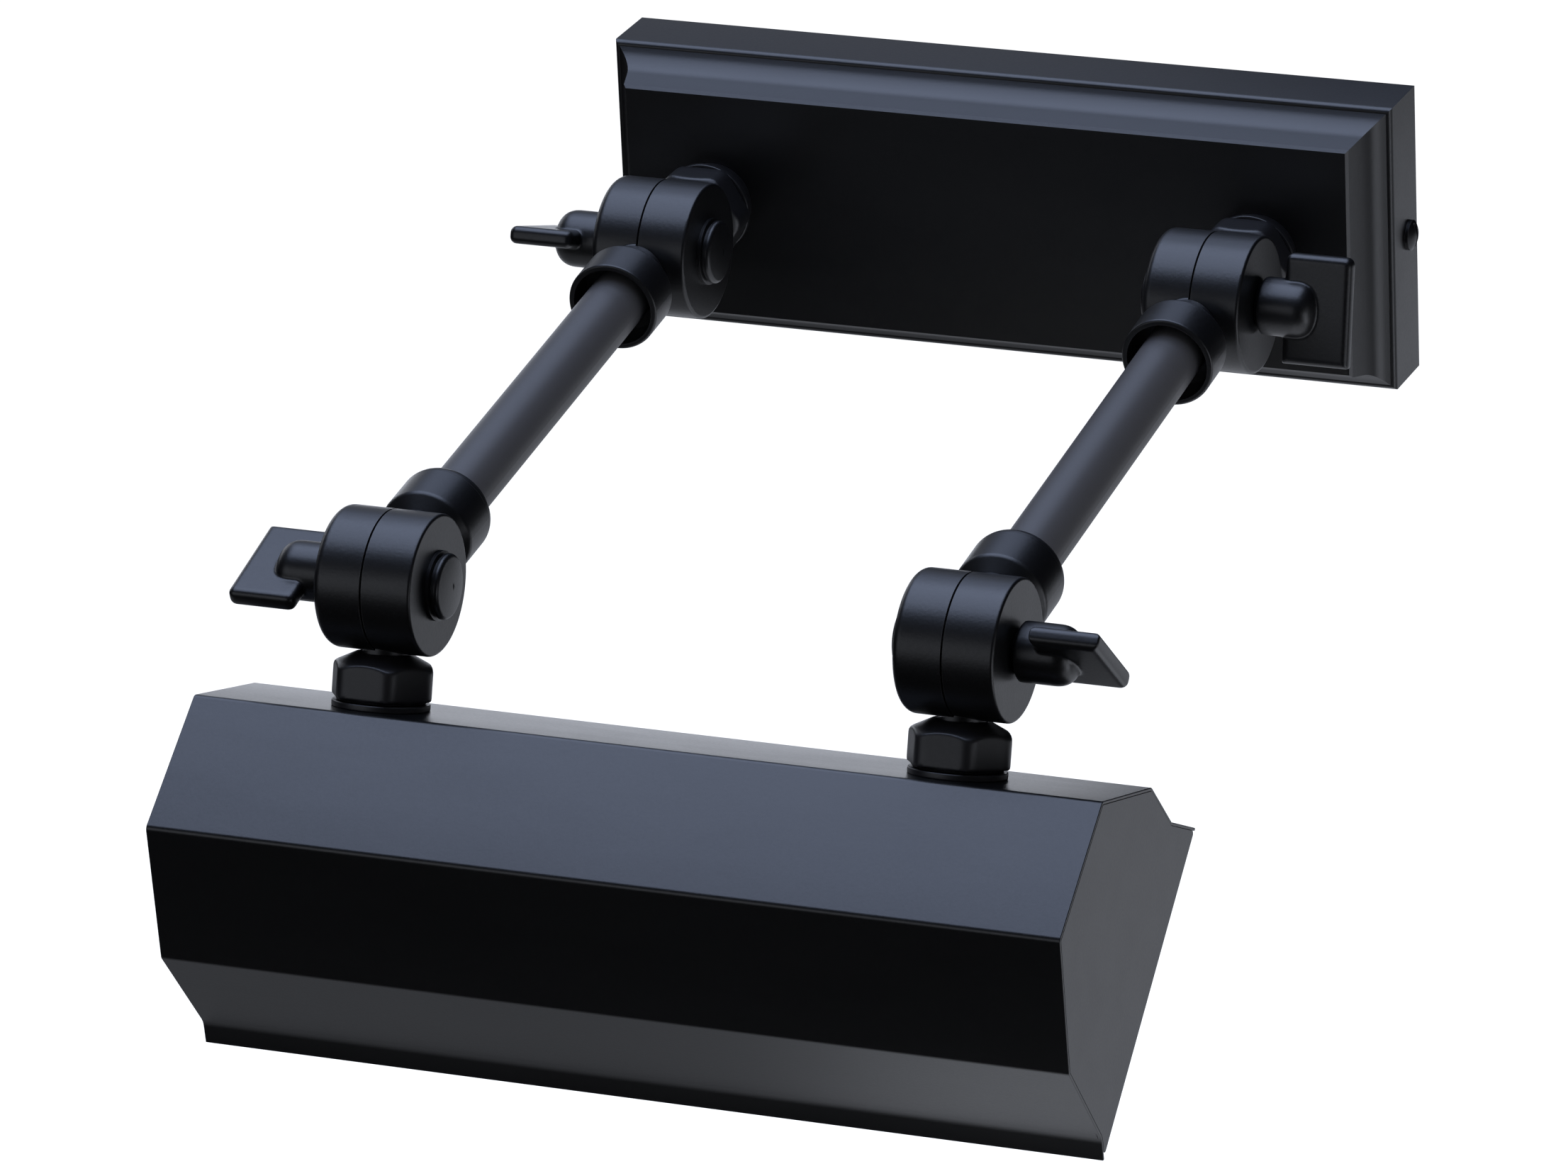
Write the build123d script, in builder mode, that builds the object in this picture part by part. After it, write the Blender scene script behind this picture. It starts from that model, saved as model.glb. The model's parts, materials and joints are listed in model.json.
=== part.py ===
"""Double-arm picture light: a stepped wall canopy, two pivoting arms and a folded trough shade.

Millimetres. X runs along the shade, +Y points into the wall and +Z is up.
The origin is the centre of the plane where the canopy meets the wall.
"""

import os
from math import cos, radians, sin

from build123d import *

# ---- driving dimensions -------------------------------------------------------------------
shade_length = 355.6          # 14 in trough
shade_tilt = 17.2             # the shade's top leans back by this angle
sheet = 1.2                   # folded steel of the shade and canopy

canopy_width = 324.0
canopy_height = 116.0
canopy_wall = 29.0            # depth of the straight side wall
edge_round = 2.2
canopy_depth = 48.7           # depth to the raised centre panel
cove_inset = 6.7              # a place on the hollow curve below the crest
cove_depth = 33.2
ridge_inset = 9.4             # crest between the cove and the step
ridge_depth = 39.1
panel_inset = 12.4
step_round = 1.1

side_screw_y = -10.0
side_screw_hole = 3.2
side_screw_radius = 2.0
side_screw_head_radius = 6.0
side_screw_head = 3.4
crossbar_thickness = 2.0
crossbar_width = 34.0
crossbar_reach = canopy_width / 2 - sheet - 0.4
box_screw_spacing = 88.9
box_slot_radius = 2.6
box_slot_length = 14.0
wire_hole_x = 18.0
wire_hole_radius = 8.0
ground_screw_x = 70.0
ground_screw_radius = 2.35
ground_head_corner = 4.6
ground_head = 3.2
ear_height = 18.0
ear_round = 4.0
block_x = -78.0
block_length = 30.0
block_width = 16.0
block_height = 13.0
block_base = 4.0
block_slot = 2.2              # gap between two ways of the block
terminal_radius = 2.2
terminal_depth = 6.0
terminal_screw = 3.5
terminal_wire = 1.6
terminal_driver = 0.6

arm_spacing = 227.0           # between the two split planes
arm_length = 271.5            # shoulder axis to elbow axis
arm_pitch = 7.4               # the arms fall by this angle
shoulder_y = -104.0
shoulder_z = 2.0

knuckle_radius = 26.5
knuckle_gap = 0.8             # filled by a friction washer
knuckle_half_width = 19.3
arm_rim = 3.8                 # rounding of the outer edge of a half cast with its cup
post_rim = 1.2                # rounding of the outer edge of a half turned with its post
cast_fillet = 1.0             # where a cup's neck grows out of its knuckle
stem_clearance = 0.6          # between a stem and the half that turns past it
post_root = 4.0               # how deep a post starts inside its knuckle half

neck_radius = 12.6            # between the knuckle and the cup
neck_root = 14.0              # how deep the neck starts inside the knuckle
neck_end = 29.2               # from the joint axis to the foot of the cup's sloping back
barrel_start = 34.8
barrel_back = 2.5             # rounding at the top of that slope
barrel_radius = 18.2
barrel_end = 52.0             # from the joint axis to the open rim
barrel_rim = 1.0              # rounding of an open rim; the closed cups keep a sharp one
cup_radius = 16.0
cup_floor = 38.0
tube_radius = 11.5
tube_wall = 1.5
seat_floor = 30.5
ferrule_round = 6.5

relief_radius = 20.0          # hollow inside both knuckle halves
relief_core = 8.0
relief_depth = 11.0
wire_way_start = 15.0         # from the joint axis, where the wire bore breaks into the relief
post_radius = 9.5
post_fit = 0.03
nut_start = 26.65
nut_end = 44.9
nut_flats = 35.6
nut_corner = 6.0              # rounding of a collar's upright edges
nut_crown = 10.0              # radius of the flat ring where a collar's sloping top begins
nut_slope = 0.5               # rise of that slope over its run
nut_brow = 17.0
nut_cheek = 34.5
nut_skirt = 16.8              # turned foot on the washer
nut_skirt_height = 1.3
stack_washer_radius = 18.3
stack_washer = 2.4            # thickness of the flat washer under each hex collar
boss_radius = 15.8
lock_washer_radius = 14.0
lock_nut_corner = 15.0
lock_nut = 4.5
bushing_radius = 8.5
bushing = 1.2

bolt_radius = 4.0
bolt_fit = 0.05
wire_bore = 4.5
wing_span = 42.7
wing_thickness = 7.0
wing_start = 10.2
wing_reach = 36.8
wing_hub_radius = 11.2
wing_hub_length = 24.0
wing_hub_dome = 8.6
wing_corner = 3.0
wing_notch = 0.9              # rounding of the step between the plate and the hub
wing_edge = 2.6
wing_turns = {                # how far each wing nut has come to rest round its bolt
    "shoulder_left": -109,
    "shoulder_right": -12,
    "elbow_left": -75,
    "elbow_right": -132,
}
bolt_flange_radius = 13.1
bolt_neck_radius = 11.4
bolt_dome_radius = 12.3
bolt_dome_top = 5.9
bolt_tail = 15.0              # thread standing proud of the far knuckle face

lamp_u = 2.0                  # lamp axis in the shade's own section
lamp_v = -105.0
socket_radius = 17.0
socket_length = 45.0
lamp_radius = 15.9
lamp_length = 142.0

fold_radius = 2.0             # bends of the shade, on the middle of the sheet
lip_fold_radius = 8.0         # softer bend where the lower slope meets the front lip
cap_flange = 9.0
cap_fit = 0.05
bracket_leg = 8.0
bracket_sheet = 1.5
bracket_width = 40.0
bracket_rise = 36.0
bracket_foot = 7.0
socket_floor = 13.0
lamp_seat = 14.0              # lampholder's back to the lamp's tip
lamp_base_radius = 13.2
lamp_base_length = 26.0
lamp_wall = 0.9
lamp_thread = 3.6
lamp_turns = 5
reflector_sheet = 0.8
standoff_u = 2.0
standoff_corner = 4.2
screw_radius = 1.5
screw_head_radius = 3.4
screw_head = 2.2
standoff_places = (-60.0, 60.0)

# ---- places that follow from them ---------------------------------------------------------
pitch = radians(arm_pitch)
tilt = radians(shade_tilt)
elbow_y = shoulder_y - arm_length * cos(pitch)
elbow_z = shoulder_z - arm_length * sin(pitch)
panel_distance = -canopy_depth - shoulder_y      # shoulder axis to the panel's face
shade_top = nut_end + stack_washer               # elbow axis to the shade's top face
half_shade = shade_length / 2
half_reach = knuckle_gap / 2 + knuckle_half_width

RIGHTWARD = Vector(1, 0, 0)
ALONG_ARM = Vector(0, -cos(pitch), -sin(pitch))
SHADE_BACK = Vector(0, cos(tilt), -sin(tilt))
SHADE_DOWN = Vector(0, -sin(tilt), -cos(tilt))
INTO_WALL = Vector(0, 1, 0)
SIDES = {"left": -1, "right": 1}
SHOULDERS = {side: Vector(s * arm_spacing / 2, shoulder_y, shoulder_z) for side, s in SIDES.items()}
ELBOWS = {side: Vector(s * arm_spacing / 2, elbow_y, elbow_z) for side, s in SIDES.items()}

# The shade's outline, back along u and up along v from the elbow axis.
TOP_BACK = (28.5, -shade_top - sheet / 2)
TOP_FRONT = (-24.5, -shade_top - sheet / 2)
BACK_FOLD = (54.0, -63.0)
BACK_LIP = (81.5, -67.8)
FRONT_UPPER = (-59.5, -93.5)
FRONT_LOWER = (-39.0, -143.5)
LIP_FOLD = (2.0, -172.0)
LIP_TIP = (5.8, -180.5)
REFLECTOR_TOP = -58.6
REFLECTOR_OUTLINE = ((58.0, -72.5), (24.5, REFLECTOR_TOP), (-19.5, REFLECTOR_TOP), (-50.0, -96.0),
                     (-31.5, -139.5), (4.0, -164.0))
SHADE_OUTLINE = (BACK_LIP, BACK_FOLD, TOP_BACK, TOP_FRONT, FRONT_UPPER, FRONT_LOWER, LIP_FOLD, LIP_TIP)
SHADE_BENDS = (fold_radius,) * 5 + (lip_fold_radius,)

os.makedirs("parts", exist_ok=True)


def save(piece, name):
    """Label a finished piece and write its STEP file."""
    piece.part.label = name
    export_step(piece.part, f"parts/{name}.step")


def stem_plane(centre, direction):
    """Plane at a joint's centre whose normal is the stem's direction."""
    return Plane(origin=centre, x_dir=RIGHTWARD, z_dir=direction)


def section_plane(plane):
    """Plane through another plane's normal: x is the radius and y runs along that normal."""
    return Plane(origin=plane.origin, x_dir=plane.x_dir, z_dir=plane.x_dir.cross(plane.z_dir))


def shade_plane(x):
    """Cross-section of the shade at x: u points back and v points up."""
    return Plane(origin=(x, elbow_y, elbow_z), x_dir=SHADE_BACK, z_dir=RIGHTWARD)


def on_shade(x, u, v):
    """World point of a place given in the shade's own section."""
    return Vector(x, elbow_y, elbow_z) + SHADE_BACK * u - SHADE_DOWN * v


# ---- canopy -------------------------------------------------------------------------------
def canopy_block(skin, back):
    """Block with the canopy's stepped outline on all four sides, `skin` inside the real one."""
    across = (
        (Plane(origin=(0, 0, 0), x_dir=(0, 0, 1), z_dir=(1, 0, 0)), canopy_height / 2),
        (Plane(origin=(0, 0, 0), x_dir=(1, 0, 0), z_dir=(0, 0, -1)), canopy_width / 2),
    )
    with BuildPart() as block:
        for index, (plane, half) in enumerate(across):
            with BuildSketch(plane):
                with BuildLine():
                    rim = (half - skin, canopy_wall - edge_round - skin)
                    cove_start = (half - edge_round - skin, canopy_wall - skin * 0.6)
                    ridge = (half - ridge_inset - skin, ridge_depth - skin * 0.8)
                    hollow = (half - cove_inset - skin, cove_depth - skin * 0.7)
                    shoulder = (half - panel_inset + step_round - skin, canopy_depth - step_round - skin)
                    panel = (half - panel_inset - skin, canopy_depth - skin)
                    Polyline((0, back), (half - skin, back), rim)
                    RadiusArc(rim, cove_start, -edge_round)
                    ThreePointArc(cove_start, hollow, ridge)
                    Polyline(ridge, shoulder, panel, (0, canopy_depth - skin))
                    mirror(about=Plane.YZ)
                make_face()
            extrude(amount=canopy_width, both=True, mode=Mode.ADD if index == 0 else Mode.INTERSECT)
    return block.part


def make_canopy():
    with BuildPart() as canopy:
        add(canopy_block(0, 0))
        add(canopy_block(sheet, -10), mode=Mode.SUBTRACT)
        for s in SIDES.values():
            post = (s * arm_spacing / 2, -canopy_depth, shoulder_z)
            with Locations(Plane(origin=post, z_dir=(0, -1, 0))):
                Hole(post_radius + post_fit, depth=3 * sheet)
            with Locations(Plane(origin=(s * canopy_width / 2, side_screw_y, 0), z_dir=(s, 0, 0))):
                Hole(side_screw_hole, depth=3 * sheet)
    save(canopy, "canopy")


def make_crossbar():
    """Flat strap on the wall box, with an ear at each end for the canopy's side screws."""
    with BuildPart() as crossbar:
        with BuildSketch(Plane.XZ):
            Rectangle(2 * crossbar_reach, crossbar_width)
            with GridLocations(box_screw_spacing, 0, 2, 1):
                SlotOverall(box_slot_length, 2 * box_slot_radius, mode=Mode.SUBTRACT)
            with GridLocations(2 * wire_hole_x, 0, 2, 1):
                Circle(wire_hole_radius, mode=Mode.SUBTRACT)
            with Locations((ground_screw_x, 0)):
                Circle(ground_screw_radius + 0.05, mode=Mode.SUBTRACT)
        extrude(amount=crossbar_thickness)
        with BuildSketch(Plane.XZ.offset(crossbar_thickness)):
            with GridLocations(2 * crossbar_reach - crossbar_thickness, 0, 2, 1):
                Rectangle(crossbar_thickness, crossbar_width)
        extrude(amount=ear_height - crossbar_thickness)
        fillet(crossbar.edges().filter_by(Axis.X).group_by(Axis.Y)[0], ear_round)
        for s in SIDES.values():
            with Locations(Plane(origin=(s * crossbar_reach, side_screw_y, 0), z_dir=(s, 0, 0))):
                Hole(side_screw_radius + 0.05, depth=3 * crossbar_thickness)
    save(crossbar, "crossbar")


def turned_screw(head, head_radius, head_height, radius, length):
    """Domed screw on a plane under its head, with a driver slot."""
    with BuildPart() as screw:
        with BuildSketch(section_plane(head)):
            with BuildLine():
                rim = (head_radius, head_height * 0.4)
                Polyline((0, head_height), (0, -length), (radius, -length), (radius, 0),
                         (head_radius, 0), rim)
                TangentArc((0, head_height), rim, tangent=(1, 0))
            make_face()
        revolve(axis=Axis(head.origin, head.z_dir))
        with BuildSketch(head.offset(head_height * 0.6)):
            Rectangle(3 * head_radius, head_radius / 4)
        extrude(amount=head_height, mode=Mode.SUBTRACT)
    return screw.part


def make_side_screws():
    """Slotted pan-head screws through the canopy's end walls into the crossbar's ears."""
    with BuildPart() as screws:
        for s in SIDES.values():
            seat = (s * (canopy_width / 2 + 0.1), side_screw_y, 0)
            head = Plane(origin=seat, x_dir=(0, 0, 1), z_dir=(s, 0, 0))
            add(turned_screw(head, side_screw_head_radius, side_screw_head, side_screw_radius, 7.0))
    save(screws, "canopy_side_screws")


def make_ground_screw():
    strap = Plane(origin=(ground_screw_x, 0, 0), x_dir=RIGHTWARD, z_dir=(0, -1, 0))
    with BuildPart() as screw:
        with BuildSketch(strap.offset(crossbar_thickness + 0.05)):
            RegularPolygon(ground_head_corner, 6)
        extrude(amount=ground_head)
        chamfer(screw.faces().sort_by(Axis.Y)[0].edges(), 0.6)
        with BuildSketch(strap.offset(0.2)):
            Circle(ground_screw_radius)
        extrude(amount=crossbar_thickness)
    save(screw, "ground_screw")


def make_terminal_block():
    """Three-way screw terminal for the supply, standing on the crossbar."""
    floor = Plane(origin=(block_x, 0, 0), z_dir=(0, -1, 0)).offset(crossbar_thickness)
    with BuildPart() as block:
        with BuildSketch(floor):
            Rectangle(block_length, block_width)
        extrude(amount=block_base)
        with BuildSketch(floor.offset(block_base)):
            with GridLocations(block_length / 3, 0, 3, 1):
                Rectangle(block_length / 3 - block_slot, block_width)
        extrude(amount=block_height - block_base)
        with BuildSketch(floor.offset(block_height)):
            with GridLocations(block_length / 3, block_width / 2, 3, 2):
                Circle(terminal_radius)
        extrude(amount=-terminal_depth, mode=Mode.SUBTRACT)
        wire_depth = crossbar_thickness + block_height - terminal_depth - 1.0
        with BuildSketch(Plane(origin=(block_x, -wire_depth, 0), z_dir=(0, 0, 1))):
            with GridLocations(block_length / 3, 0, 3, 1):
                Circle(terminal_wire)
        extrude(amount=block_width, both=True, mode=Mode.SUBTRACT)
    save(block, "terminal_block")
    with BuildPart() as screws:
        with BuildSketch(floor.offset(block_height - terminal_depth + 0.1)):
            with GridLocations(block_length / 3, block_width / 2, 3, 2):
                Circle(terminal_radius - 0.2)
        extrude(amount=terminal_screw)
        with BuildSketch(floor.offset(block_height - terminal_depth + 0.1 + terminal_screw)):
            with GridLocations(block_length / 3, block_width / 2, 3, 2):
                Rectangle(2 * terminal_radius, terminal_driver)
        extrude(amount=-terminal_screw / 4, mode=Mode.SUBTRACT)
    save(screws, "terminal_screws")


# ---- stacks that clamp a post to a sheet ---------------------------------------------------
def make_ring(name, places, start, end, radius, bore, round_edge=0.0):
    """Turned rings, one around each stem plane given."""
    with BuildPart() as ring:
        for plane in places:
            with BuildSketch(plane.offset(start)):
                Circle(radius)
                Circle(bore, mode=Mode.SUBTRACT)
            extrude(amount=end - start)
        if round_edge:
            fillet(ring.edges().filter_by(GeomType.CIRCLE).group_by(SortBy.RADIUS)[-1], round_edge)
    save(ring, name)


def make_hex_collar(name, plane, start, end):
    """Hexagonal nut with soft corners, a sloping crown towards the knuckle and a turned foot."""
    corner = nut_flats / 2 / cos(radians(30))
    foot = end - nut_skirt_height
    brow = (nut_brow, start + (nut_brow - nut_crown) * nut_slope)
    with BuildPart() as nut:
        with BuildSketch(plane.offset(start)):
            RegularPolygon(corner, 6)
        extrude(amount=end - start)
        fillet(nut.edges().filter_by(Axis(plane.origin, plane.z_dir)), nut_corner)
        with BuildSketch(section_plane(plane)):
            with BuildLine():
                TangentArc(brow, (corner, nut_cheek), tangent=(1, nut_slope))
                Polyline((corner, nut_cheek), (corner, foot), (nut_skirt, foot), (nut_skirt, end), (0, end),
                         (0, start), (nut_crown, start), brow)
            make_face()
        revolve(axis=Axis(plane.origin, plane.z_dir), mode=Mode.INTERSECT)
        with BuildSketch(plane.offset(start)):
            Circle(post_radius + post_fit)
        extrude(amount=end - start, mode=Mode.SUBTRACT)
    save(nut, name)


def make_lock_nuts(name, places, start, thickness):
    """Plain hex nuts with chamfered corners inside the sheet."""
    with BuildPart() as nuts:
        for plane in places:
            with BuildSketch(plane.offset(start)):
                RegularPolygon(lock_nut_corner, 6)
                Circle(post_radius + post_fit, mode=Mode.SUBTRACT)
            extrude(amount=thickness)
    save(nuts, name)


def make_stack(prefix, places, sheet_face, lock_start):
    """Collar, washers and lock nut of the two posts on one sheet."""
    bore = post_radius + post_fit
    for side, plane in places.items():
        make_hex_collar(f"{prefix}_nut_{side}", plane, nut_start, nut_end)
        make_ring(f"{prefix}_washer_{side}", [plane], nut_end, shade_top, stack_washer_radius, bore, 0.5)
        if sheet_face > shade_top:
            make_ring(f"{prefix}_boss_{side}", [plane], shade_top, sheet_face, boss_radius, bore, 1.0)
    stems = places.values()
    make_ring(f"{prefix}_lock_washers", stems, lock_start, lock_start + 1.0, lock_washer_radius, bore)
    make_lock_nuts(f"{prefix}_lock_nuts", stems, lock_start + 1.0, lock_nut)


# ---- knuckles -----------------------------------------------------------------------------
def make_post(name, centre, direction, stem_end):
    """Right half of a knuckle with the threaded post that goes through the canopy or shade."""
    joint = Plane(origin=centre, x_dir=direction, z_dir=RIGHTWARD)
    stem = stem_plane(centre, direction)
    with BuildPart() as post:
        with BuildSketch(joint.offset(knuckle_gap / 2)):
            Circle(knuckle_radius)
        extrude(amount=knuckle_half_width)
        fillet(post.faces().sort_by(Axis.X)[-1].edges(), post_rim)
        with BuildSketch(stem.offset(knuckle_radius - post_root)):
            Circle(post_radius)
        extrude(amount=stem_end - knuckle_radius + post_root)
        with BuildSketch(joint.offset(knuckle_gap / 2)):
            Circle(knuckle_radius + stem_clearance)
        extrude(amount=-2 * barrel_radius, mode=Mode.SUBTRACT)
        with BuildSketch(joint.offset(knuckle_gap / 2)):
            Circle(relief_radius)
            Circle(relief_core, mode=Mode.SUBTRACT)
        extrude(amount=relief_depth, mode=Mode.SUBTRACT)
        with BuildSketch(stem.offset(wire_way_start)):
            Circle(wire_bore)
        extrude(amount=stem_end, mode=Mode.SUBTRACT)
        with BuildSketch(joint):
            Circle(bolt_radius + bolt_fit)
        extrude(amount=2 * knuckle_half_width, mode=Mode.SUBTRACT)
    save(post, name)


def make_arm_casting(name, centre, direction, rim):
    """Left half of a knuckle with the cup that takes the arm's tube; rim rounds the cup's edge."""
    joint = Plane(origin=centre, x_dir=direction, z_dir=-RIGHTWARD)
    stem = stem_plane(centre, direction)
    along = Axis(centre, direction)
    with BuildPart() as casting:
        with BuildSketch(joint.offset(knuckle_gap / 2)):
            Circle(knuckle_radius)
        extrude(amount=knuckle_half_width)
        fillet(casting.faces().sort_by(Axis.X)[0].edges(), arm_rim)
        with BuildSketch(section_plane(stem)):
            with BuildLine():
                FilletPolyline((neck_radius, neck_root + 1.0), (neck_radius, neck_end),
                               (barrel_radius, barrel_start), (barrel_radius, barrel_end),
                               radius=barrel_back)
                Polyline((barrel_radius, barrel_end), (0, barrel_end), (0, neck_root),
                         (neck_radius, neck_root), (neck_radius, neck_root + 1.0))
            make_face()
        revolve(axis=along)
        if rim:
            fillet(casting.faces().sort_by(along)[-1].edges(), rim)
        with BuildSketch(joint.offset(knuckle_gap / 2)):
            Circle(knuckle_radius + stem_clearance)
        extrude(amount=-2 * barrel_radius, mode=Mode.SUBTRACT)
        saddle = casting.edges().filter_by(GeomType.BSPLINE)
        fillet(saddle.filter_by_position(Axis.X, -canopy_width, centre.X - 1.0), cast_fillet)
        with BuildSketch(joint.offset(knuckle_gap / 2)):
            Circle(relief_radius)
            Circle(relief_core, mode=Mode.SUBTRACT)
        extrude(amount=relief_depth, mode=Mode.SUBTRACT)
        bores = ((cup_floor, cup_radius), (seat_floor, tube_radius + 0.02), (wire_way_start, wire_bore))
        for floor, radius in bores:
            with BuildSketch(stem.offset(floor)):
                Circle(radius)
            extrude(amount=barrel_end, mode=Mode.SUBTRACT)
        with BuildSketch(joint):
            Circle(bolt_radius + bolt_fit)
        extrude(amount=2 * knuckle_half_width, mode=Mode.SUBTRACT)
    save(casting, name)


def make_tube(name, centre):
    plane = stem_plane(centre, ALONG_ARM)
    with BuildPart() as tube:
        with BuildSketch(plane.offset(seat_floor + 0.1)):
            Circle(tube_radius)
            Circle(tube_radius - tube_wall, mode=Mode.SUBTRACT)
        extrude(amount=arm_length - 2 * seat_floor - 0.2)
    save(tube, name)


def make_ferrule(name, centre):
    """Rounded cap that closes the lower cup around the tube."""
    plane = stem_plane(centre, -ALONG_ARM)
    bore = tube_radius + 0.04
    skirt = cup_radius - 0.04
    seat = barrel_end + 0.1
    lean = radians(45)
    bend = ferrule_round
    with BuildPart() as ferrule:
        with BuildSketch(section_plane(plane)):
            with BuildLine():
                lip = (barrel_radius, seat)
                cheek = (barrel_radius - bend + bend * cos(lean), seat + bend * sin(lean))
                crown = (barrel_radius - bend, seat + bend)
                ThreePointArc(lip, cheek, crown)
                Polyline(crown, (bore, seat + bend), (bore, cup_floor + 3.0), (skirt, cup_floor + 3.0),
                         (skirt, seat), lip)
            make_face()
        revolve(axis=Axis(plane.origin, plane.z_dir))
    save(ferrule, name)


def make_bolt(name, centre, head_side):
    """Knuckle bolt with a stepped, domed head; head_side is the X direction of the head."""
    plane = Plane(origin=centre, x_dir=(0, 0, 1), z_dir=(head_side, 0, 0))
    face = half_reach + 0.05
    tail = -half_reach - bolt_tail
    brow = (bolt_dome_radius, face + 3.4)
    cheek = (bolt_dome_radius - 0.4, face + 4.4)
    temple = (bolt_dome_radius - 1.5, face + 5.0)
    crown = (0, face + bolt_dome_top)
    with BuildPart() as bolt:
        with BuildSketch(section_plane(plane)):
            with BuildLine():
                Polyline(crown, (0, tail), (bolt_radius, tail), (bolt_radius, face),
                         (bolt_flange_radius, face), (bolt_flange_radius, face + 1.3),
                         (bolt_neck_radius, face + 1.7), (bolt_neck_radius, face + 2.4),
                         (bolt_dome_radius, face + 2.6), brow)
                ThreePointArc(brow, cheek, temple)
                TangentArc(crown, temple, tangent=(1, 0))
            make_face()
        revolve(axis=Axis(plane.origin, plane.z_dir))
    save(bolt, name)


def make_wing_nut(name, centre, out, turn):
    """Wing nut: a domed hub with one flat plate across it, turned to `turn` degrees about X."""
    angle = radians(turn)
    origin = centre + RIGHTWARD * (out * half_reach)
    face = Plane(origin=origin, x_dir=(0, -sin(angle), cos(angle)), z_dir=(out, 0, 0))
    section = section_plane(face)
    along = Axis(face.origin, face.z_dir)
    across = Axis(face.origin, face.x_dir)
    hub_end = wing_hub_length - wing_hub_dome
    with BuildPart() as wing:
        with BuildSketch(section) as plate:
            with Locations((0, (wing_start + wing_reach) / 2)):
                Rectangle(wing_span, wing_reach - wing_start)
            with Locations((0, wing_start)):
                Rectangle(2 * wing_hub_radius, 10.0)
            fillet(plate.vertices().group_by(along)[-1], wing_corner)
            fillet(plate.vertices().group_by(along)[1].sort_by(across)[1:-1], wing_notch)
        extrude(amount=wing_thickness / 2, both=True)
        fillet(wing.faces().filter_by(section).edges(), wing_edge)
        with BuildSketch(section):
            with BuildLine():
                Polyline((0, wing_hub_length), (0, 0.1), (wing_hub_radius - 2.5, 0.1),
                         (wing_hub_radius - 2.5, 1.0), (wing_hub_radius, 2.2), (wing_hub_radius, hub_end))
                Spline((wing_hub_radius, hub_end), (0, wing_hub_length), tangents=((0, 1), (-1, 0)))
            make_face()
        revolve(axis=along)
        with BuildSketch(face):
            Circle(bolt_radius + bolt_fit)
        extrude(amount=bolt_tail + 1.0, mode=Mode.SUBTRACT)
    save(wing, name)


# ---- shade --------------------------------------------------------------------------------
def make_shade_shell():
    """Folded sheet trough, open towards the wall below."""
    with BuildPart() as shell:
        with BuildSketch(shade_plane(-half_shade)):
            with BuildLine() as fold:
                FilletPolyline(*SHADE_OUTLINE, radius=SHADE_BENDS)
            trace(fold.line, line_width=sheet)
        extrude(amount=shade_length)
        for side in SIDES:
            with BuildSketch(stem_plane(ELBOWS[side], SHADE_DOWN).offset(shade_top - 1.0)):
                Circle(post_radius + post_fit)
            extrude(amount=sheet + 2.0, mode=Mode.SUBTRACT)
    save(shell, "shade_shell")


def make_end_cap(side):
    """Flat end plate with a short flange folded inwards all round."""
    out = SIDES[side]
    with BuildPart() as cap:
        for start, skin, mode in ((0, 0, Mode.ADD), (sheet, sheet, Mode.SUBTRACT)):
            with BuildSketch(shade_plane(out * (half_shade - start))):
                with BuildLine():
                    FilletPolyline(*SHADE_OUTLINE, radius=(fold_radius, *SHADE_BENDS, fold_radius), close=True)
                make_face()
                offset(amount=-(sheet / 2 + cap_fit + skin), kind=Kind.INTERSECTION)
            extrude(amount=-out * cap_flange, mode=mode)
    save(cap, f"end_cap_{side}")


def make_reflector():
    """Folded bright sheet behind the lamps, clear of the posts' ends."""
    length = shade_length - 2 * cap_flange - 2.0
    with BuildPart() as reflector:
        with BuildSketch(shade_plane(-length / 2)):
            with BuildLine() as fold:
                FilletPolyline(*REFLECTOR_OUTLINE, radius=1.5)
            trace(fold.line, line_width=reflector_sheet)
        extrude(amount=length)
        for x in standoff_places:
            with BuildSketch(down_plane(x)):
                Circle(screw_radius + 0.2)
            extrude(amount=-2 * REFLECTOR_TOP, mode=Mode.SUBTRACT)
    save(reflector, "reflector")


def down_plane(x):
    """Plane on the elbow axis at x, facing down at the middle of the shade's top."""
    return Plane(origin=on_shade(x, standoff_u, 0), x_dir=RIGHTWARD, z_dir=SHADE_DOWN)


def make_standoffs():
    """Hex standoffs between the shade's top and the reflector, and the screws that hold it."""
    top = shade_top + sheet
    seat = -REFLECTOR_TOP - reflector_sheet / 2
    with BuildPart() as standoffs:
        for x in standoff_places:
            with BuildSketch(down_plane(x).offset(top)):
                RegularPolygon(standoff_corner, 6)
                Circle(screw_radius + 0.05, mode=Mode.SUBTRACT)
            extrude(amount=seat - top)
    save(standoffs, "reflector_standoffs")
    with BuildPart() as screws:
        for x in standoff_places:
            under_head = down_plane(x).offset(seat + reflector_sheet)
            add(turned_screw(under_head.offset(0.02), screw_head_radius, screw_head, screw_radius, 6.0))
    save(screws, "reflector_screws")


# ---- lamps --------------------------------------------------------------------------------
def lamp_plane(side, depth):
    """Plane across the lamp axis, `depth` inwards from an end cap's inner face."""
    out = SIDES[side]
    x = out * (half_shade - sheet - depth)
    return Plane(origin=on_shade(x, lamp_u, lamp_v), x_dir=SHADE_BACK, z_dir=(-out, 0, 0))


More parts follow.
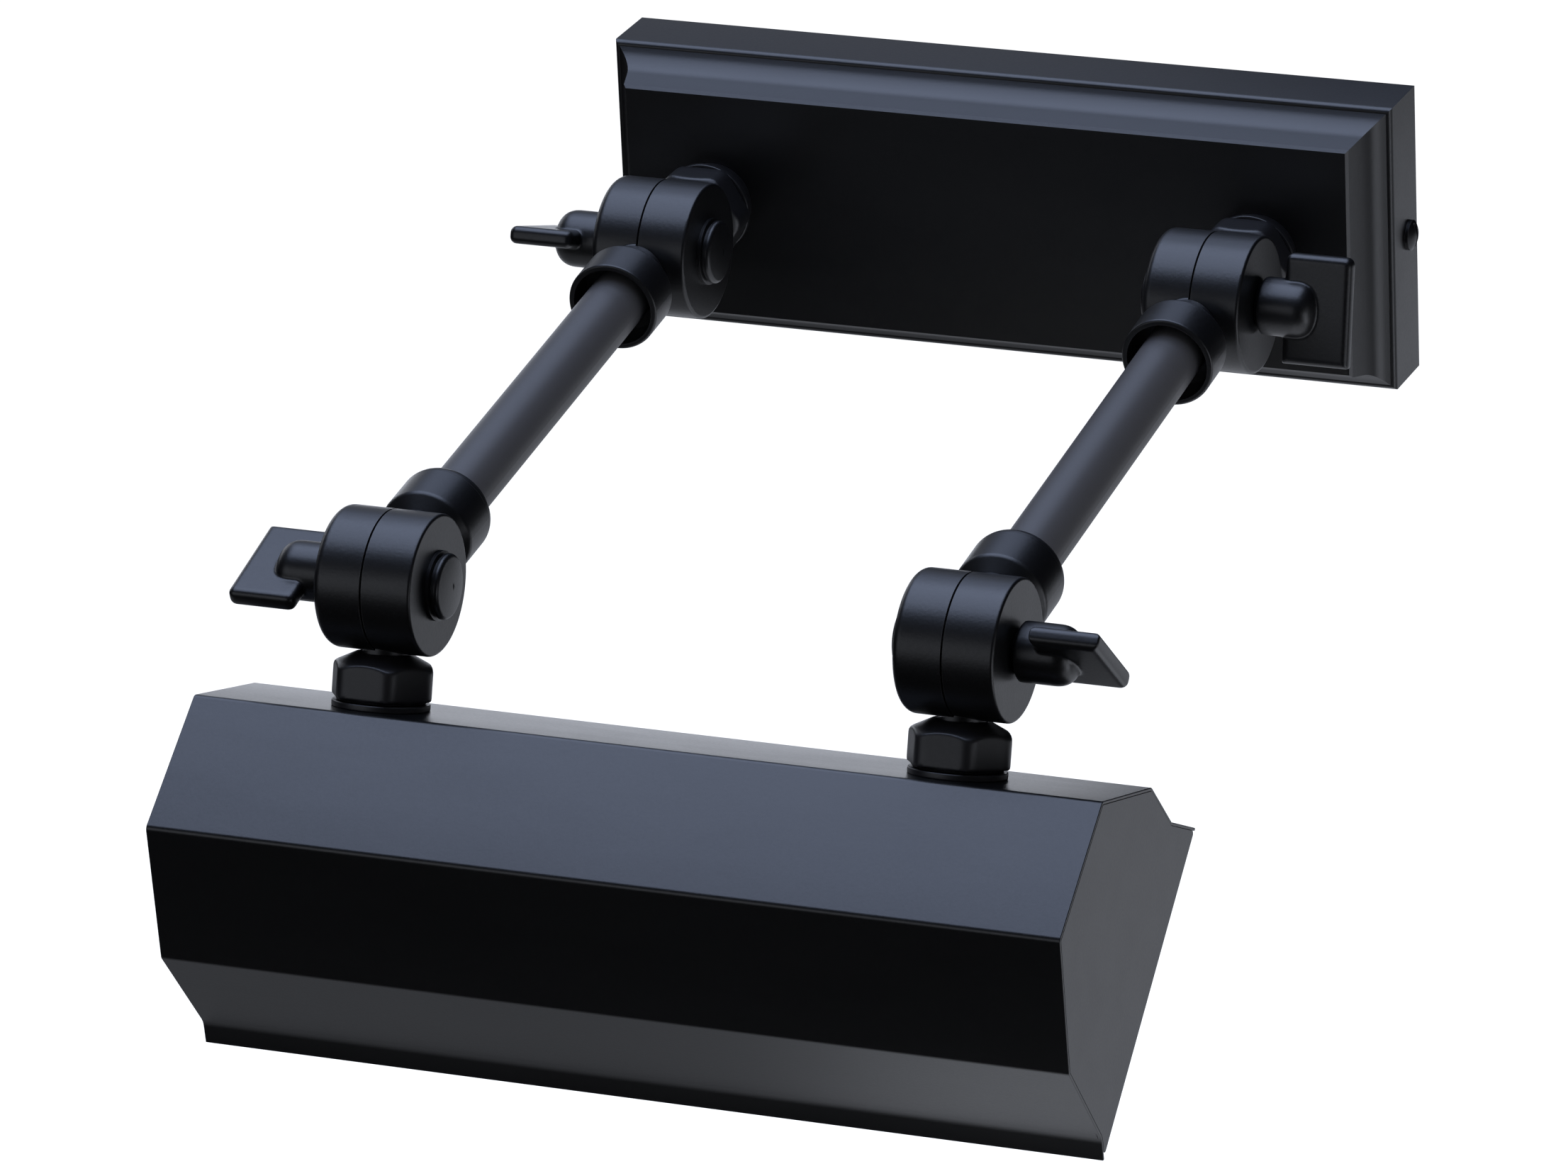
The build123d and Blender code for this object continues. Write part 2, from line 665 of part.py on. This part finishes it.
def make_socket_bracket(side):
    """Hat-section bracket on the end cap."""
    with BuildPart() as bracket:
        with BuildSketch(lamp_plane(side, 0)):
            with GridLocations(0, bracket_rise + bracket_foot, 1, 2):
                Rectangle(bracket_width, bracket_foot + bracket_sheet)
        extrude(amount=bracket_sheet)
        with BuildSketch(lamp_plane(side, 0)):
            with GridLocations(0, bracket_rise, 1, 2):
                Rectangle(bracket_width, bracket_sheet)
        extrude(amount=bracket_leg)
        with BuildSketch(lamp_plane(side, bracket_leg)):
            Rectangle(bracket_width, bracket_rise + bracket_sheet)
            Circle(6.0, mode=Mode.SUBTRACT)
        extrude(amount=bracket_sheet)
    save(bracket, f"socket_bracket_{side}")


def make_socket(side):
    """Porcelain lampholder with its rolled brass shell."""
    plane = lamp_plane(side, bracket_leg + bracket_sheet)
    bore = socket_radius - 2.6
    with BuildPart() as socket:
        with BuildSketch(section_plane(plane)):
            with BuildLine():
                Polyline((6.0, 0), (socket_radius - 2.0, 0), (socket_radius - 1.0, 1.0),
                         (socket_radius - 1.0, 30.0), (socket_radius, 32.0),
                         (socket_radius, socket_length - 1), (socket_radius - 1.0, socket_length),
                         (bore, socket_length), (bore, socket_floor), (6.0, socket_floor), close=True)
            make_face()
        revolve(axis=Axis(plane.origin, plane.z_dir))
    save(socket, f"lamp_socket_{side}")
    with BuildPart() as shell:
        with BuildSketch(plane.offset(socket_floor)):
            Circle(bore - 0.05)
            Circle(bore - 0.65, mode=Mode.SUBTRACT)
        extrude(amount=socket_length - socket_floor - 4.0)
        with BuildSketch(plane.offset(socket_floor)):
            Circle(bore - 0.3)
            Circle(4.0, mode=Mode.SUBTRACT)
        extrude(amount=0.6)
    save(shell, f"socket_shell_{side}")


def make_lamp(side):
    """Tubular lamp: a brass screw base and a thin glass envelope with a round end."""
    plane = lamp_plane(side, bracket_leg + bracket_sheet + lamp_seat)
    axis = Axis(plane.origin, plane.z_dir)
    root = lamp_base_radius - 0.6
    with BuildPart() as base:
        with BuildSketch(section_plane(plane)):
            with BuildLine():
                first = (root, 4.0)
                last = (root, 4.0 + lamp_turns * lamp_thread)
                Polyline(last, (root, lamp_base_length), (0, lamp_base_length), (0, 0), (4.5, 0),
                         (5.5, 1.5), (lamp_base_radius - 2.0, 3.2), first)
                for turn in range(lamp_turns):
                    low = 4.0 + turn * lamp_thread
                    crest = (lamp_base_radius, low + lamp_thread / 2)
                    ThreePointArc((root, low), crest, (root, low + lamp_thread))
            make_face()
        revolve(axis=axis)
    save(base, f"lamp_base_{side}")
    with BuildPart() as glass:
        for skin, mode in ((0, Mode.ADD), (lamp_wall, Mode.SUBTRACT)):
            radius = lamp_radius - skin
            neck = lamp_base_radius - 1.0 - skin
            foot = lamp_base_length + 0.05 + skin
            bell = foot + 16.0
            crown = lamp_length - lamp_radius
            with BuildSketch(section_plane(plane)):
                with BuildLine():
                    Polyline((0, foot), (neck, foot), (neck, foot + 2.0))
                    Spline((neck, foot + 2.0), (radius, bell), tangents=((0, 1), (0, 1)))
                    Line((radius, bell), (radius, crown))
                    CenterArc((0, crown), radius, 0, 90)
                    Line((0, crown + radius), (0, foot))
                make_face()
            revolve(axis=axis, mode=mode)
    save(glass, f"lamp_glass_{side}")


# ---- assembly -----------------------------------------------------------------------------
canopy_stems = {side: stem_plane(SHOULDERS[side], INTO_WALL) for side in SIDES}
shade_stems = {side: stem_plane(ELBOWS[side], SHADE_DOWN) for side in SIDES}
canopy_post_end = panel_distance + sheet + 9.5
shade_post_end = shade_top + sheet + 6.6

make_canopy()
make_crossbar()
make_side_screws()
make_ground_screw()
make_terminal_block()
make_stack("canopy", canopy_stems, panel_distance, panel_distance + sheet)
make_stack("shade", shade_stems, shade_top, shade_top + sheet)
make_ring("canopy_wire_bushings", canopy_stems.values(), canopy_post_end, canopy_post_end + bushing,
          bushing_radius, wire_bore)
make_ring("shade_wire_bushings", shade_stems.values(), shade_post_end, shade_post_end + bushing,
          bushing_radius, wire_bore)

for side in SIDES:
    make_post(f"shoulder_post_{side}", SHOULDERS[side], INTO_WALL, canopy_post_end)
    make_arm_casting(f"arm_shoulder_{side}", SHOULDERS[side], ALONG_ARM, barrel_rim)
    make_tube(f"arm_tube_{side}", SHOULDERS[side])
    make_ferrule(f"arm_ferrule_{side}", ELBOWS[side])
    make_arm_casting(f"arm_elbow_{side}", ELBOWS[side], -ALONG_ARM, 0)
    make_post(f"shade_post_{side}", ELBOWS[side], SHADE_DOWN, shade_post_end)
    for joint, centres in (("shoulder", SHOULDERS), ("elbow", ELBOWS)):
        make_bolt(f"{joint}_bolt_{side}", centres[side], -SIDES[side])
        make_wing_nut(f"{joint}_wing_nut_{side}", centres[side], SIDES[side], wing_turns[f"{joint}_{side}"])
    make_end_cap(side)
    make_socket_bracket(side)
    make_socket(side)
    make_lamp(side)

for joint, centres in (("shoulder", SHOULDERS), ("elbow", ELBOWS)):
    planes = [Plane(origin=centre, x_dir=(0, 0, 1), z_dir=(1, 0, 0)) for centre in centres.values()]
    make_ring(f"{joint}_friction_washers", planes, 0.1 - knuckle_gap / 2, knuckle_gap / 2, 25.0, 20.5)

make_shade_shell()
make_reflector()
make_standoffs()
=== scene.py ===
"""Looks of the double-arm picture light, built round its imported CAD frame. Metres."""

import json
from math import cos, radians, sin

import bmesh
import bpy
from mathutils import Matrix, Vector


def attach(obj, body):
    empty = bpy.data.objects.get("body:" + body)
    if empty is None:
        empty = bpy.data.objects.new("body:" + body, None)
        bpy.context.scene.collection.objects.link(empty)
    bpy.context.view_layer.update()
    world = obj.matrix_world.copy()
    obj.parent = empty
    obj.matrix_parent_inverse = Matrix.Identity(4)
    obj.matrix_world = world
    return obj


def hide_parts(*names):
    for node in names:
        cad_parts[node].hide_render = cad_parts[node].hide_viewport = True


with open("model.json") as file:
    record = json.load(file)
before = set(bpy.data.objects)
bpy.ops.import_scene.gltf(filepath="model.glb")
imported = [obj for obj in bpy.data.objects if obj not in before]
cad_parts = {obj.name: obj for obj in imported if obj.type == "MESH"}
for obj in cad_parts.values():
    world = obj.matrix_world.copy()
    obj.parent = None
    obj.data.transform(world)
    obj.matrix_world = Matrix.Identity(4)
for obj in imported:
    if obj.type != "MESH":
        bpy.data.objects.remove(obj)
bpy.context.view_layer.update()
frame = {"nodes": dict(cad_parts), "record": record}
nodes = frame["nodes"]
bodies = {b: list(ns) for b, ns in frame["record"]["behaviour"]["bodies"].items()}
body_of = {n: b for b, ns in bodies.items() for n in ns}
slot_of = {s["node"]: s["material_slot"] for s in frame["record"]["subparts"]}
scene = bpy.context.scene

# ---- camera -------------------------------------------------------------------------------
IMAGE_WIDTH = 2212          # pixels
FOCAL = 13397.86            # focal length in the same pixels
SENSOR_WIDTH = 36.0         # mm
AZIMUTH = radians(22.560)
ELEVATION = radians(22.093)
ROLL = radians(-2.554)
ASIDE = 0.096153            # the origin in the camera's own axes: right, up and ahead
ABOVE = 0.157644
AWAY = 3.758730


def make_camera():
    """Camera looking down at the light from its right."""
    forward = Vector((-sin(AZIMUTH) * cos(ELEVATION), cos(AZIMUTH) * cos(ELEVATION), -sin(ELEVATION)))
    level = Vector((cos(AZIMUTH), sin(AZIMUTH), 0))
    upright = level.cross(forward)
    right = cos(ROLL) * level + sin(ROLL) * upright
    up = -sin(ROLL) * level + cos(ROLL) * upright
    data = bpy.data.cameras.new("camera")
    data.sensor_fit = "HORIZONTAL"
    data.sensor_width = SENSOR_WIDTH
    data.lens = SENSOR_WIDTH * FOCAL / IMAGE_WIDTH
    data.clip_start = 0.05
    data.clip_end = 60.0
    camera = bpy.data.objects.new("camera", data)
    scene.collection.objects.link(camera)
    turn = Matrix((right, up, -forward)).transposed().to_4x4()
    camera.matrix_world = Matrix.Translation(-(ASIDE * right + ABOVE * up + AWAY * forward)) @ turn
    scene.camera = camera


make_camera()


# ---- materials ----------------------------------------------------------------------------
BLACK = (0.0012, 0.0012, 0.0016)
# painted sheen: the collars' black paint made a little lighter so they look lit
PAINTED_SHEEN_BLACK = (0.003, 0.003, 0.004)
# painted sheen: the tubes' black paint made grey so they look lit
PAINTED_SHEEN_GREY = (0.024, 0.024, 0.027)
DUST = (0.006, 0.006, 0.007)
WORN_AND_HIGHLIGHT = (0.03, 0.03, 0.033)          # paint rubbed thin along an edge, and a painted highlight along every edge
WEAR_AND_HIGHLIGHT_WIDTH = 0.0005                 # how far the wear and the painted edge highlight reach from an edge


class Paint:
    """A node material with a few short ways to add nodes."""

    def __init__(self, name, **sockets):
        self.material = bpy.data.materials.new(name)
        self.material.use_nodes = True
        self.tree = self.material.node_tree
        self.shader = self.tree.nodes["Principled BSDF"]
        for key, value in sockets.items():
            self.shader.inputs[key.replace("_", " ")].default_value = value
        self.place = self.node("ShaderNodeTexCoord").outputs["Object"]

    def node(self, kind, **values):
        made = self.tree.nodes.new(kind)
        for key, value in values.items():
            setattr(made, key, value)
        return made

    def link(self, source, target):
        self.tree.links.new(source, target)

    def noise(self, scale, detail=3.0, rough=0.5, stretch=None, distortion=0.0):
        made = self.node("ShaderNodeTexNoise")
        made.inputs["Scale"].default_value = scale
        made.inputs["Detail"].default_value = detail
        made.inputs["Roughness"].default_value = rough
        made.inputs["Distortion"].default_value = distortion
        if stretch:
            mapping = self.node("ShaderNodeMapping")
            mapping.inputs["Scale"].default_value = stretch
            self.link(self.place, mapping.inputs["Vector"])
            self.link(mapping.outputs["Vector"], made.inputs["Vector"])
        else:
            self.link(self.place, made.inputs["Vector"])
        return made.outputs["Fac"]

    def spread(self, source, low, high, to_low, to_high):
        made = self.node("ShaderNodeMapRange")
        self.link(source, made.inputs["Value"])
        made.inputs["From Min"].default_value = low
        made.inputs["From Max"].default_value = high
        made.inputs["To Min"].default_value = to_low
        made.inputs["To Max"].default_value = to_high
        return made.outputs["Result"]

    def math(self, operation, a, b):
        made = self.node("ShaderNodeMath", operation=operation)
        self.link(a, made.inputs[0])
        self.link(b, made.inputs[1])
        return made.outputs[0]

    def mix(self, factor, a, b):
        made = self.node("ShaderNodeMix", data_type="RGBA")
        self.link(factor, made.inputs["Factor"])
        for socket, value in ((made.inputs[6], a), (made.inputs[7], b)):
            if isinstance(value, tuple):
                socket.default_value = (*value, 1.0)
            else:
                self.link(value, socket)
        return made.outputs[2]

    def bump(self, height, distance, before=None):
        made = self.node("ShaderNodeBump")
        made.inputs["Distance"].default_value = distance
        self.link(height, made.inputs["Height"])
        if before:
            self.link(before, made.inputs["Normal"])
        return made.outputs["Normal"]

    def edges(self, radius, low, high):
        """1 along outer and inner edges within radius, 0 on flat faces."""
        rounded = self.node("ShaderNodeBevel", samples=6)
        rounded.inputs["Radius"].default_value = radius
        geometry = self.node("ShaderNodeNewGeometry")
        dot = self.node("ShaderNodeVectorMath", operation="DOT_PRODUCT")
        self.link(rounded.outputs["Normal"], dot.inputs[0])
        self.link(geometry.outputs["Normal"], dot.inputs[1])
        return self.spread(dot.outputs["Value"], high, low, 0.0, 1.0)


def satin_black(name, colour, rough, orange_peel, wear_and_highlight):
    """Satin powder coat: fine orange peel, stray specks, and edges lighter in patches, partly paint rubbed
    thin and partly a painted highlight.
    """
    paint = Paint(name, Base_Color=(*colour, 1), Roughness=rough)
    peel = paint.noise(900.0, 2.0, 0.45)
    grit = paint.noise(3800.0, 2.0, 0.6)
    smear = paint.noise(60.0, 3.0, 0.55, stretch=(0.25, 1.0, 1.0), distortion=0.6)
    speck = paint.noise(1500.0, 1.0, 0.4)
    base = paint.mix(paint.spread(speck, 0.70, 0.78, 0.0, 0.5), colour, DUST)
    # painted highlight with some wear: outer and inner edges made lighter in random patches
    patches = paint.spread(smear, 0.42, 0.62, 0.0, wear_and_highlight)
    wear_and_highlight_mask = paint.math("MULTIPLY", paint.edges(WEAR_AND_HIGHLIGHT_WIDTH, 0.90, 0.999), patches)
    base = paint.mix(wear_and_highlight_mask, base, WORN_AND_HIGHLIGHT)
    paint.link(base, paint.shader.inputs["Base Color"])
    gloss = paint.math("ADD", paint.spread(smear, 0.3, 0.7, rough - 0.01, rough + 0.01),
                       paint.spread(peel, 0.3, 0.7, -0.015, 0.015))
    paint.link(gloss, paint.shader.inputs["Roughness"])
    fine = paint.bump(grit, 0.000004)
    paint.link(paint.bump(peel, orange_peel, before=fine), paint.shader.inputs["Normal"])
    return paint.material


def brushed(name, colour, rough, stretch, metallic=1.0):
    """Bare or plated metal with a drawn grain and faint stains."""
    paint = Paint(name, Base_Color=(*colour, 1), Metallic=metallic, Roughness=rough)
    grain = paint.noise(700.0, 3.0, 0.6, stretch=stretch)
    blotch = paint.noise(45.0, 4.0, 0.6)
    stain = tuple(c * 0.72 for c in colour)
    base = paint.mix(paint.spread(blotch, 0.4, 0.75, 0.0, 0.7), colour, stain)
    paint.link(base, paint.shader.inputs["Base Color"])
    paint.link(paint.spread(grain, 0.3, 0.7, rough - 0.08, rough + 0.10), paint.shader.inputs["Roughness"])
    paint.link(paint.bump(grain, 0.00002), paint.shader.inputs["Normal"])
    return paint.material


def plastic(name, colour, rough, grain_depth):
    """Moulded or fired surface, or flat enamel, with a fine grain and slight blotches."""
    paint = Paint(name, Base_Color=(*colour, 1), Roughness=rough)
    grain = paint.noise(2200.0, 2.0, 0.5)
    blotch = paint.noise(60.0, 3.0, 0.5)
    base = paint.mix(paint.spread(blotch, 0.4, 0.7, 0.0, 0.6), colour, tuple(c * 0.82 for c in colour))
    paint.link(base, paint.shader.inputs["Base Color"])
    paint.link(paint.spread(grain, 0.3, 0.7, rough - 0.06, rough + 0.06), paint.shader.inputs["Roughness"])
    paint.link(paint.bump(grain, grain_depth), paint.shader.inputs["Normal"])
    return paint.material


def frosted_glass(name):
    """Milky lamp glass, etched inside."""
    paint = Paint(name, Base_Color=(0.93, 0.93, 0.90, 1), Roughness=0.35, IOR=1.46)
    paint.shader.inputs["Transmission Weight"].default_value = 0.55
    frost = paint.noise(1600.0, 3.0, 0.6)
    paint.link(paint.spread(frost, 0.3, 0.7, 0.28, 0.45), paint.shader.inputs["Roughness"])
    paint.link(paint.bump(frost, 0.000012), paint.shader.inputs["Normal"])
    return paint.material


MATERIALS = {
    "canopy_paint": satin_black("canopy_paint", BLACK, 0.34, 0.000020, 0.25),
    "casting_paint": satin_black("casting_paint", BLACK, 0.37, 0.000035, 0.35),
    # tube paint: its grey base is a painted sheen on black paint
    "tube_paint": satin_black("tube_paint", PAINTED_SHEEN_GREY, 0.48, 0.000020, 0.15),
    # collar paint: its lighter base is a painted sheen on black paint
    "collar_paint": satin_black("collar_paint", PAINTED_SHEEN_BLACK, 0.40, 0.000025, 0.35),
    "hardware_paint": satin_black("hardware_paint", BLACK, 0.36, 0.000030, 0.40),
    "shade_paint": satin_black("shade_paint", BLACK, 0.33, 0.000018, 0.25),
    "zinc_steel": brushed("zinc_steel", (0.60, 0.61, 0.63), 0.36, (0.1, 1.0, 1.0)),
    "ground_green": brushed("ground_green", (0.05, 0.24, 0.09), 0.40, (1.0, 1.0, 1.0), 0.6),
    "terminal_plastic": plastic("terminal_plastic", (0.72, 0.71, 0.66), 0.45, 0.00002),
    "bushing_plastic": plastic("bushing_plastic", (0.015, 0.015, 0.016), 0.35, 0.00002),
    "friction_fibre": plastic("friction_fibre", (0.012, 0.011, 0.010), 0.75, 0.00004),
    "reflector_white": plastic("reflector_white", (0.80, 0.80, 0.77), 0.38, 0.00001),
    "socket_porcelain": plastic("socket_porcelain", (0.82, 0.81, 0.77), 0.16, 0.00001),
    "brass": brushed("brass", (0.72, 0.52, 0.22), 0.28, (0.2, 1.0, 1.0)),
    "lamp_glass": frosted_glass("lamp_glass"),
}


for name, node in nodes.items():
    if node.material_slots:
        node.material_slots[0].material = MATERIALS[slot_of[name]]
    else:
        node.data.materials.append(MATERIALS[slot_of[name]])


# ---- pieces made over from their CAD nodes ---------------------------------------------------
SAME_POINT = 2e-6               # vertices closer than this are one
FLAT = radians(0.6)             # facets that meet within this angle are merged
SHARP = radians(28)             # edges that fold more than this are rounded


def copy_of(name):
    """A new piece with its own copy of a CAD node's mesh."""
    piece = bpy.data.objects.new(f"{name}_visual", nodes[name].data.copy())
    scene.collection.objects.link(piece)
    return piece


def bake(piece):
    """Turns a piece's modifiers into its mesh."""
    depsgraph = bpy.context.evaluated_depsgraph_get()
    piece.data = bpy.data.meshes.new_from_object(piece.evaluated_get(depsgraph))
    piece.modifiers.clear()


def stand_in(piece, name):
    """Shows a piece in place of the CAD node it was made from."""
    piece.data.materials.clear()
    piece.data.materials.append(MATERIALS[slot_of[name]])
    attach(piece, body_of[name])
    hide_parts(name)


def shade_smooth(data):
    for polygon in data.polygons:
        polygon.use_smooth = True


def made_over(name, bevel, segments=2):
    """A finer piece in place of a CAD node: flats merged and hard edges rounded."""
    piece = copy_of(name)
    mesh = bmesh.new()
    mesh.from_mesh(piece.data)
    bmesh.ops.remove_doubles(mesh, verts=mesh.verts, dist=SAME_POINT)
    bmesh.ops.dissolve_limit(mesh, angle_limit=FLAT, use_dissolve_boundaries=False,
                             verts=mesh.verts, edges=mesh.edges)
    mesh.to_mesh(piece.data)
    mesh.free()
    if "custom_normal" in piece.data.attributes:
        piece.data.attributes.remove(piece.data.attributes["custom_normal"])
    shade_smooth(piece.data)
    rounding = piece.modifiers.new("rounding", "BEVEL")
    rounding.width = bevel
    rounding.segments = segments
    rounding.limit_method = "ANGLE"
    rounding.angle_limit = SHARP
    rounding.harden_normals = True
    rounding.miter_outer = "MITER_ARC"
    bake(piece)
    stand_in(piece, name)


def cast_over(name, voxel, passes):
    """A piece in place of a CAD node with its corners blended, as a casting has them."""
    piece = copy_of(name)
    remesh = piece.modifiers.new("remesh", "REMESH")
    remesh.mode = "VOXEL"
    remesh.voxel_size = voxel
    smooth = piece.modifiers.new("smooth", "SMOOTH")
    smooth.factor = 0.5
    smooth.iterations = passes
    bake(piece)
    shade_smooth(piece.data)
    stand_in(piece, name)


HIDDEN_HARDWARE = ("crossbar", "reflector", "terminal_block", "shade_lock_nuts", "canopy_lock_nuts",
                   "ground_screw")

made_over("shade_shell", 0.00035)
made_over("canopy", 0.0005, 3)
for name in HIDDEN_HARDWARE:
    made_over(name, 0.00025)
for side in ("left", "right"):
    made_over(f"end_cap_{side}", 0.0004)
    made_over(f"socket_bracket_{side}", 0.0003)
    for joint in ("shoulder", "elbow"):
        cast_over(f"{joint}_wing_nut_{side}", 0.00045, 9)
    cast_over(f"shade_nut_{side}", 0.0005, 14)
    cast_over(f"canopy_nut_{side}", 0.0005, 14)


# ---- studio -------------------------------------------------------------------------------
FLOOR_Z = -1.6
FLOOR_REACH = 9.0
WORLD_LIGHT = 1.1
LOW = -0.74                         # height of the cards that light the undersides
BLUISH = (0.60, 0.71, 1.0)
COOL = (0.86, 0.90, 1.0)
CENTRE = (0, -0.25, -0.05)          # about the middle of the light


def card(name, centre, target, width, height, power, colour):
    """Soft rectangular light, unseen itself, that the paint reflects as a broad sheen."""
    data = bpy.data.lights.new(name, "AREA")
    data.shape = "RECTANGLE"
    data.size = width
    data.size_y = height
    data.energy = power
    data.color = colour
    light = bpy.data.objects.new(name, data)
    light.location = centre
    light.rotation_euler = (Vector(target) - Vector(centre)).to_track_quat("-Z", "Y").to_euler()
    light.visible_camera = False
    scene.collection.objects.link(light)


def make_floor():
    """Pale matt floor that the black paint doesn't mirror."""
    mesh = bpy.data.meshes.new("floor")
    turns = ((-1, -1), (1, -1), (1, 1), (-1, 1))
    mesh.from_pydata([(FLOOR_REACH * x, FLOOR_REACH * y, FLOOR_Z) for x, y in turns], [], [(0, 1, 2, 3)])
    piece = bpy.data.objects.new("floor", mesh)
    scene.collection.objects.link(piece)
    paper = Paint("paper", Base_Color=(0.93, 0.93, 0.93, 1), Roughness=0.9)
    paper.shader.inputs["Specular IOR Level"].default_value = 0.1
    mesh.materials.append(paper.material)
    piece.visible_glossy = False


def make_world():
    """Even white surroundings that the black paint doesn't mirror."""
    world = bpy.data.worlds.new("world")
    scene.world = world
    world.use_nodes = True
    background = world.node_tree.nodes["Background"]
    background.inputs["Color"].default_value = (1.0, 1.0, 1.0, 1)
    background.inputs["Strength"].default_value = WORLD_LIGHT
    world.cycles_visibility.glossy = False


make_floor()
make_world()
card("overhead", (-0.5, 0.0, 1.9), (-0.5, 0.0, 0), 2.2, 2.2, 60, BLUISH)
card("behind_top", (-0.8, 1.8, 1.75), CENTRE, 2.4, 0.9, 9.5, BLUISH)
card("behind_middle", (-1.9, 2.2, 0.45), (-1.9, 0, 0.45), 2.4, 1.1, 3.2, COOL)
card("behind_low", (-1.6, 2.2, -0.45), (-1.6, 0, -0.45), 1.78, 0.6, 6.6, COOL)
card("ground_back", (0.4, 1.2, LOW), (0.4, 1.2, 1), 4.0, 2.0, 17.0, COOL)
card("ground_right", (0.42, -0.3, LOW), (0.42, -0.3, 1), 1.1, 1.0, 3.6, COOL)
card("ground_left", (-0.75, -0.3, LOW), (-0.75, -0.3, 1), 1.2, 1.0, 1.3, COOL)
card("far_left", (-2.4, 1.2, 0.55), CENTRE, 1.6, 1.2, 8.0, COOL)
card("front_left", (-1.3, -2.6, 0.5), (0, 0, 0.1), 2.4, 1.3, 9.0, COOL)
card("ground_far_right", (1.55, -0.45, LOW), (1.55, -0.45, 1), 0.8, 0.6, 5.0, COOL)
card("right_side", (2.0, -0.9, -0.4), (0, -0.1, 0), 1.4, 0.7, 5.0, COOL)

scene.view_settings.view_transform = "Standard"
scene.view_settings.look = "None"
